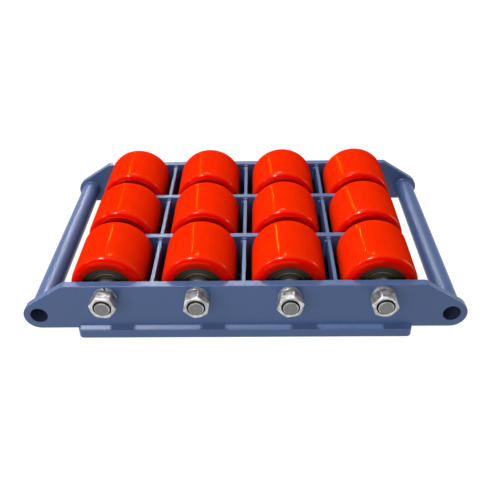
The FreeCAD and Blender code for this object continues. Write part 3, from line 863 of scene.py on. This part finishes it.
_, axle_reach = middle_and_reach("axle_1")
axle_radius, axle_half_length = axle_reach.x, axle_reach.y
print(f"axle: {2 * axle_radius / MM:.1f} mm thick, threads {2 * THREAD_RADIUS / MM:.1f} mm")


def thread_radius_at(depth, angle):
    """Radius at a depth below the tip: a tooth with a flat crest, cut back by the tip's chamfer."""
    phase = (depth / THREAD_PITCH + angle / (2 * math.pi)) % 1
    tooth = 1 - abs(2 * phase - 1)
    crest = min(1.0, CREST_GAIN * tooth)
    fade = min(1.0, (THREAD_SHOWN - depth) / THREAD_PITCH)
    cut = THREAD_RADIUS - THREAD_DEPTH * (1 - crest) * fade
    return min(cut, THREAD_RADIUS - TIP_CHAMFER + depth - TIP_DOME)


def axle_outline(angle):
    """From tip to tip: a slightly domed end face, the shown thread and the plain bar."""
    steps = round(THREAD_SHOWN / THREAD_PITCH * POINTS_PER_PITCH)
    face_radius = THREAD_RADIUS - TIP_CHAMFER
    half = []
    for step in range(DOME_STEPS + 1):
        share = step / DOME_STEPS
        half.append(Vector((share * face_radius, axle_half_length - TIP_DOME * share * share)))
    for step in range(1, steps + 1):
        depth = TIP_DOME + (THREAD_SHOWN - TIP_DOME) * step / steps
        half.append(Vector((thread_radius_at(depth, angle), axle_half_length - depth)))
    half.append(Vector((THREAD_RADIUS, axle_half_length - THREAD_LENGTH)))
    half.append(Vector((axle_radius, axle_half_length - THREAD_LENGTH)))
    return half + [Vector((point.x, -point.y)) for point in reversed(half)]


# %% Make the axles
AXLE_SEGMENTS = 96


def is_thread(spot):
    depth = axle_half_length - abs(spot.y)
    return TIP_CHAMFER + TIP_DOME - EDGE_ROUNDING < depth < THREAD_LENGTH


def is_tip_bevel(spot):
    depth = axle_half_length - abs(spot.y)
    return TIP_DOME < depth < TIP_DOME + TIP_CHAMFER - EDGE_ROUNDING


axle_places = {}
for axle in AXLES:
    axle_places[axle], _ = middle_and_reach(f"axle_{axle}")
    shape = bmesh.new()
    add_ring(shape, axle_outline, AXLE_SEGMENTS, closed=False)
    mesh = to_mesh(f"axle_{axle}_threaded", shape)
    piece(f"axle_{axle}_threaded", mesh, axle_places[axle], "frame", axle_steel, "axle_steel", f"axle_{axle}")
    # The shown threads are dark with oil and with painted shade.
    refinish(mesh, thread_steel, is_thread)
    refinish(mesh, zinc, is_tip_bevel)
print("axles:", len(axle_places), f"of {2 * axle_half_length / MM:.0f} mm")

# %% [markdown]
# ## Nuts
# A nut is a hexagon with its corners bevelled by a cone at both ends, which leaves the curved edges that
# every nut shows. Its radius at any angle is the smaller of the hexagon's and the cone's, so it needs no
# cutting: the ring function takes that radius directly. A high power softens the hexagon's corners. The flats
# are duller than the bevels, and the mouth is dark with oil from the thread and with painted shade, so both
# get their own finish.

# %% Draw a nut
HALF_FLATS = 13.5 * MM
NUT_HEIGHT = 16 * MM
NUT_FACE_RADIUS = 12.7 * MM
BEVEL_SLOPE = math.tan(math.radians(30))
COUNTERSINK = 1.3 * MM
CORNER_POWER = 90
BEVEL_STEPS = 12
BEVEL_EASE = 0.4 * EDGE_ROUNDING
EASE_POWER = 8


def hexagon_radius(angle):
    """Distance from the middle to a hexagon with slightly soft corners."""
    sides = [math.cos(angle - math.radians(30 + 60 * side)) for side in range(6)]
    total = sum(max(0.0, side) ** CORNER_POWER for side in sides)
    return HALF_FLATS / total ** (1 / CORNER_POWER)


def nut_outline(angle):
    """Outer side with a bevel at both ends, then the flat faces and the bore."""
    hexagon = hexagon_radius(angle)
    bore = THREAD_RADIUS + EDGE_ROUNDING / 2
    mouth = bore + COUNTERSINK
    bevel_depth = (hexagon - NUT_FACE_RADIUS) * BEVEL_SLOPE
    bevel = []
    for step in range(BEVEL_STEPS + 1):
        share = step / BEVEL_STEPS
        depth = bevel_depth * share
        ease = BEVEL_EASE * (2 * share - 1) ** EASE_POWER
        bevel.append(Vector((NUT_FACE_RADIUS + (hexagon - NUT_FACE_RADIUS) * share - ease, depth)))
    half = [Vector((bore, COUNTERSINK)), Vector((mouth - EDGE_ROUNDING / 2, EDGE_ROUNDING / 2))]
    half += [Vector((mouth + EDGE_ROUNDING / 2, 0)), Vector((NUT_FACE_RADIUS - EDGE_ROUNDING, 0))] + bevel
    half.append(Vector((hexagon, bevel_depth + EDGE_ROUNDING)))
    return half + [Vector((point.x, NUT_HEIGHT - point.y)) for point in reversed(half)]


print(f"nut: {2 * hexagon_radius(math.radians(30)) / MM:.1f} mm across its flats")

# %% Make the nuts
NUT_SEGMENTS = 144
NUT_TURNS = (9, -20, -14, 10)

nut_low, nut_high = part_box("axle_nuts")
shape = bmesh.new()
for end in ENDS:
    foot = nut_high.y - NUT_HEIGHT if end > 0 else nut_low.y
    for axle, turned in zip(AXLES, NUT_TURNS):
        before = len(shape.verts)
        add_ring(shape, nut_outline, NUT_SEGMENTS, foot)
        shape.verts.ensure_lookup_table()
        added = shape.verts[before:]
        bmesh.ops.rotate(shape, verts=added, matrix=Matrix.Rotation(math.radians(turned), 3, "Y"))
        bmesh.ops.translate(shape, verts=added, vec=Vector((axle_places[axle].x, 0, axle_places[axle].z)))


def from_axis(spot):
    """Distance from the axis of the nearest axle."""
    nearest = min(axle_places.values(), key=lambda place: abs(place.x - spot.x))
    return math.hypot(spot.x - nearest.x, spot.z - nearest.z)


def is_flat(spot):
    """On one of a nut's six sides, away from the bevels and the bore."""
    from_middle = abs(nut_high.y - NUT_HEIGHT / 2 - abs(spot.y))
    return from_axis(spot) > NUT_FACE_RADIUS and from_middle < NUT_HEIGHT / 4


def is_mouth(spot):
    """In a nut's bore or the countersink that leads into it."""
    return from_axis(spot) < THREAD_RADIUS + COUNTERSINK


nuts = to_mesh("axle_nuts_bevelled", shape)
piece("axle_nuts_bevelled", nuts, Vector(), "frame", zinc, "zinc_plate", "axle_nuts")
refinish(nuts, dull_zinc, is_flat)
# The nut mouths are dark with oil and with painted shade.
refinish(nuts, thread_steel, is_mouth)
print("nuts:", len(ENDS) * len(AXLES))

# %% [markdown]
# ## Spring washers
# Under each nut lies a spring washer, a square wire wound into one turn and cut through on a slant. The wire
# is a rounded square carried round the axle. It stops short of a full turn, and each slice is shifted with
# its height, which gives the slanted cut. Both ends are closed with a face.

# %% Make the spring washers
WASHER_SEGMENTS = 88
WASHER_BORE = 9.2 * MM
WASHER_BAND = 4.3 * MM
WASHER_SPLIT = 2.2 * MM
SPLIT_SLANT = math.radians(18)
WIRE_ROUNDING = 0.6 * MM
WASHER_TURNS = (272, 75, 118, 96)

washer_low, washer_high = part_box("spring_washers")
_, side_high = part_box("side_plate_rear")
washer_thickness = washer_high.y - side_high.y


def add_washer(shape, foot, turn, place):
    section = rounded([
        (WASHER_BORE, 0, WIRE_ROUNDING),
        (WASHER_BORE + WASHER_BAND, 0, WIRE_ROUNDING),
        (WASHER_BORE + WASHER_BAND, washer_thickness, WIRE_ROUNDING),
        (WASHER_BORE, washer_thickness, WIRE_ROUNDING),
    ])
    mean_radius = WASHER_BORE + WASHER_BAND / 2
    sweep = 2 * math.pi - WASHER_SPLIT / mean_radius
    loops = []
    for index in range(WASHER_SEGMENTS + 1):
        base = turn + sweep * index / WASHER_SEGMENTS
        loop = []
        for point in section:
            angle = base + point.y * math.tan(SPLIT_SLANT) / mean_radius
            spot = Vector((point.x * math.cos(angle), foot + point.y, point.x * math.sin(angle)))
            loop.append(shape.verts.new(spot + place))
        loops.append(loop)
    skin_and_cap(shape, loops)


shape = bmesh.new()
for end in ENDS:
    foot = washer_high.y - washer_thickness if end > 0 else washer_low.y
    for axle, turned in zip(AXLES, WASHER_TURNS):
        add_washer(shape, foot, -math.radians(turned), Vector((axle_places[axle].x, 0, axle_places[axle].z)))
washers = to_mesh("spring_washers_wound", shape)
piece("spring_washers_wound", washers, Vector(), "frame", zinc, "zinc_plate", "spring_washers")
print("spring washers:", len(ENDS) * len(AXLES))

# %% [markdown]
# ## Weld beads
# The dividers are welded into the corners against the long plates, and the tow tubes are welded to the side
# plates all round. A bead is a thin roll with ripples, one for each dip of the wire. It lies in the corner
# and sinks into both plates, and its ends are round. A short bead caps each end of a divider's top edge.
# Along the foot of each side plate runs a flat seam, and its slant is what makes the load plate's rim shine.
# All beads were painted with the frame.

# %% Roll the beads
BEAD_RADIUS = 2.6 * MM
BEAD_SECTIONS = 12
RIPPLE_LENGTH = 2.2 * MM
RIPPLE_SHARE = 0.10
STEPS_PER_RIPPLE = 6
LEAST_TAPER = 0.02


def add_bead(shape, start, end, thick=BEAD_RADIUS):
    """Rippled roll from start to end with round ends."""
    length = (end - start).length
    direction = (end - start).normalized()
    side = direction.orthogonal().normalized()
    other = direction.cross(side)
    steps = round(length / RIPPLE_LENGTH * STEPS_PER_RIPPLE)
    loops = []
    for index in range(steps + 1):
        travelled = length * index / steps
        from_end = min(travelled, length - travelled)
        inside = max(0.0, 1 - from_end / thick)
        taper = math.sqrt(max(LEAST_TAPER, 1 - inside * inside))
        ripple = 1 - RIPPLE_SHARE * abs(math.sin(math.pi * travelled / RIPPLE_LENGTH))
        radius = thick * taper * ripple
        centre = start + direction * travelled
        loop = []
        for count in range(BEAD_SECTIONS):
            angle = 2 * math.pi * count / BEAD_SECTIONS
            loop.append(shape.verts.new(centre + (side * math.cos(angle) + other * math.sin(angle)) * radius))
        loops.append(loop)
    skin_and_cap(shape, loops)


# %% Weld the dividers
BEAD_SINK = 0.9 * MM
BEAD_STOP = 2.5 * MM
CAP_REACH = 3.4 * MM
CAP_RADIUS = 2.1 * MM
DIVIDER_THICKNESS = 4 * MM

divider_xs = [(roller_places["front", a].x + roller_places["front", a + 1].x) / 2 for a in AXLES[:-1]]
for row in ROWS:
    low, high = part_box(f"dividers_{row}")
    shape = bmesh.new()
    for x in divider_xs:
        for wall_y, inward in ((low.y, 1), (high.y, -1)):
            bead_y = wall_y + inward * BEAD_SINK
            for side in ENDS:
                bead_x = x + side * (DIVIDER_THICKNESS / 2 + BEAD_SINK)
                foot = Vector((bead_x, bead_y, low.z + BEAD_RADIUS))
                add_bead(shape, foot, Vector((bead_x, bead_y, high.z - BEAD_STOP)))
            cap = Vector((x, bead_y, high.z))
            reach = Vector((CAP_REACH, 0, 0))
            add_bead(shape, cap - reach, cap + reach, CAP_RADIUS)
    mesh = to_mesh(f"divider_welds_{row}", shape)
    piece(f"divider_welds_{row}", mesh, Vector(), "frame", enamel, "frame_paint")
print("divider welds:", 4 * len(divider_xs), "beads and", 2 * len(divider_xs), "caps in each bay")

# %% Weld the side plates
SEAM_LEG = 2.2 * MM
SEAM_ROOT = 0.4 * MM
SEAM_TOE = 1.5 * MM
SEAM_MARGIN = 3 * MM
SEAM_RIPPLE = 0.05


def add_seam(shape, wall_y, edge_y, top_z, half_length):
    """Flat fillet seam in the corner between a side plate and the edge of the load plate."""
    outward = math.copysign(1, edge_y - wall_y)
    toe_y = edge_y - outward * SEAM_TOE
    root_y = wall_y - outward * SEAM_ROOT
    steps = round(2 * half_length / RIPPLE_LENGTH * STEPS_PER_RIPPLE)
    loops = []
    for index in range(steps + 1):
        x = half_length * (2 * index / steps - 1)
        leg = SEAM_LEG * (1 - SEAM_RIPPLE * abs(math.sin(math.pi * x / RIPPLE_LENGTH)))
        low_z = top_z - SEAM_ROOT
        section = ((root_y, low_z), (root_y, top_z + leg), (toe_y, top_z), (toe_y, low_z))
        loops.append([shape.verts.new((x, y, z)) for y, z in section])
    skin_and_cap(shape, loops)


load_low, load_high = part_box("load_plate")
shape = bmesh.new()
for edge_y, wall_y in ((load_low.y, -side_high.y), (load_high.y, side_high.y)):
    add_seam(shape, wall_y, edge_y, load_high.z, load_high.x - SEAM_MARGIN)
piece("side_plate_welds", to_mesh("side_plate_welds", shape), Vector(), "frame", enamel, "frame_paint")
print(f"side plate welds: 2 seams of {2 * (load_high.x - SEAM_MARGIN) / MM:.0f} mm")

# %% Weld the tow tubes
TUBE_BEAD_RADIUS = 1.7 * MM
TUBE_BEAD_SINK = 0.3 * MM
TUBE_BEAD_SEGMENTS = 144
TUBE_RIPPLES = 34
TUBE_BEAD_SECTIONS = 12


def tube_bead_outline(angle, tube_radius):
    ripple = 1 - RIPPLE_SHARE * abs(math.sin(TUBE_RIPPLES * angle / 2))
    points = []
    for count in range(TUBE_BEAD_SECTIONS):
        turn = 2 * math.pi * count / TUBE_BEAD_SECTIONS
        reach = TUBE_BEAD_RADIUS * ripple
        points.append(Vector((tube_radius + TUBE_BEAD_SINK + reach * math.cos(turn), reach * math.sin(turn))))
    return points


for label in ("left", "right"):
    low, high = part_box(f"tow_tube_{label}")
    middle = (low + high) / 2
    tube_radius = (high.x - low.x) / 2
    shape = bmesh.new()
    for end in ENDS:
        bead_y = end * ((high.y - low.y) / 2 - TUBE_BEAD_SINK)
        add_ring(shape, lambda angle: tube_bead_outline(angle, tube_radius), TUBE_BEAD_SEGMENTS, bead_y)
    mesh = to_mesh(f"tow_tube_welds_{label}", shape)
    piece(f"tow_tube_welds_{label}", mesh, middle, "frame", enamel, "frame_paint")
print("tow tube welds: 2 rings on each tube")

# %% [markdown]
# ## Floor
# The skate lies on a plain white floor that reaches past the view. The photograph shows it pure white, so it
# glows a little and drowns the shadows. That glow would also light the sides far too much, so it is kept from
# spreading: the floor is seen by the camera and in the gloss of paint and metal, and adds no diffuse light. A
# backdrop of the same white stands round it for low views.

# %% Lay the floor
FLOOR_HALF = 8.0
FLOOR_DROP = 0.2 * MM
FLOOR_GLOW = 0.96
FLOOR_GREY = (0.1, 0.1, 0.1, 1)
WHITE = (1.0, 1.0, 1.0, 1)

glow = Finish(
    "white_floor", Roughness=0.9, Base_Color=FLOOR_GREY, Emission_Color=WHITE, Emission_Strength=FLOOR_GLOW
)


def white_piece(name, shape):
    """Glowing white piece round the skate that adds no diffuse light to it."""
    mesh = bpy.data.meshes.new(name)
    shape.to_mesh(mesh)
    shape.free()
    mesh.materials.append(glow.material)
    made = bpy.data.objects.new(name, mesh)
    made.location.z = cad_low.z - FLOOR_DROP
    made.visible_diffuse = False
    bpy.context.scene.collection.objects.link(made)
    return made


shape = bmesh.new()
bmesh.ops.create_grid(shape, x_segments=1, y_segments=1, size=FLOOR_HALF)
floor = white_piece("floor", shape)
print(f"floor: {2 * FLOOR_HALF:.0f} m wide")

# %% Hang the backdrop
BACKDROP_HEIGHT = 9.0
BACKDROP_SEGMENTS = 64

shape = bmesh.new()
bmesh.ops.create_cone(
    shape, cap_ends=False, segments=BACKDROP_SEGMENTS, radius1=FLOOR_HALF, radius2=FLOOR_HALF,
    depth=BACKDROP_HEIGHT, matrix=Matrix.Translation((0, 0, BACKDROP_HEIGHT / 2)),
)
backdrop = white_piece("backdrop", shape)
backdrop.visible_glossy = False
backdrop.visible_shadow = False
print(f"backdrop: {BACKDROP_HEIGHT:.0f} m high")
